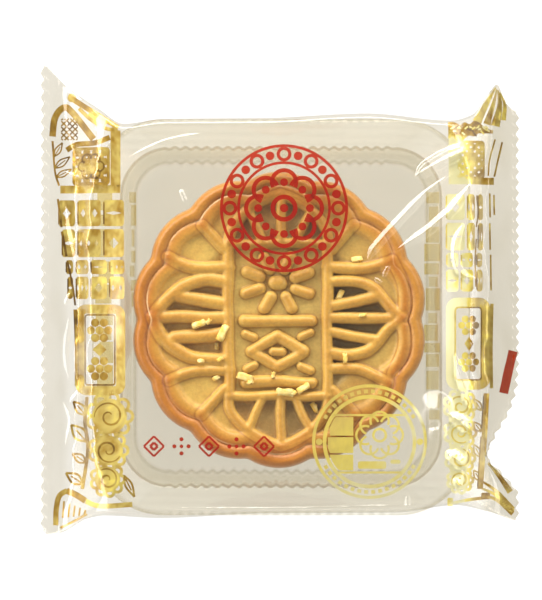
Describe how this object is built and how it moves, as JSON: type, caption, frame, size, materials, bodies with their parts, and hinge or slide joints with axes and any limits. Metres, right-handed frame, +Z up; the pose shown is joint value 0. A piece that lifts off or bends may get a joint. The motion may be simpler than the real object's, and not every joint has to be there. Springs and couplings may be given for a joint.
{
  "type": "wrapped mooncake",
  "caption": "Round scalloped mooncake with a moulded top, in a clear fluted tray, sealed in a clear film flow pack with printed bands and crimped ends.",
  "frame": {"origin": "under the middle of the pack's overall box, on the surface it stands on", "axes": "+Z up, X from end seal to end seal, Y across the pack"},
  "size_m": [0.1156, 0.1134, 0.027],
  "materials": {
    "clear_film": "gloss",
    "clear_tray": "gloss",
    "baked_crust": "satin",
    "crumb": "matte",
    "gold_print": "satin",
    "red_print": "gloss"
  },
  "bodies": {
    "root": {"film_pack": "clear_film"}
  },
  "joints": []
}
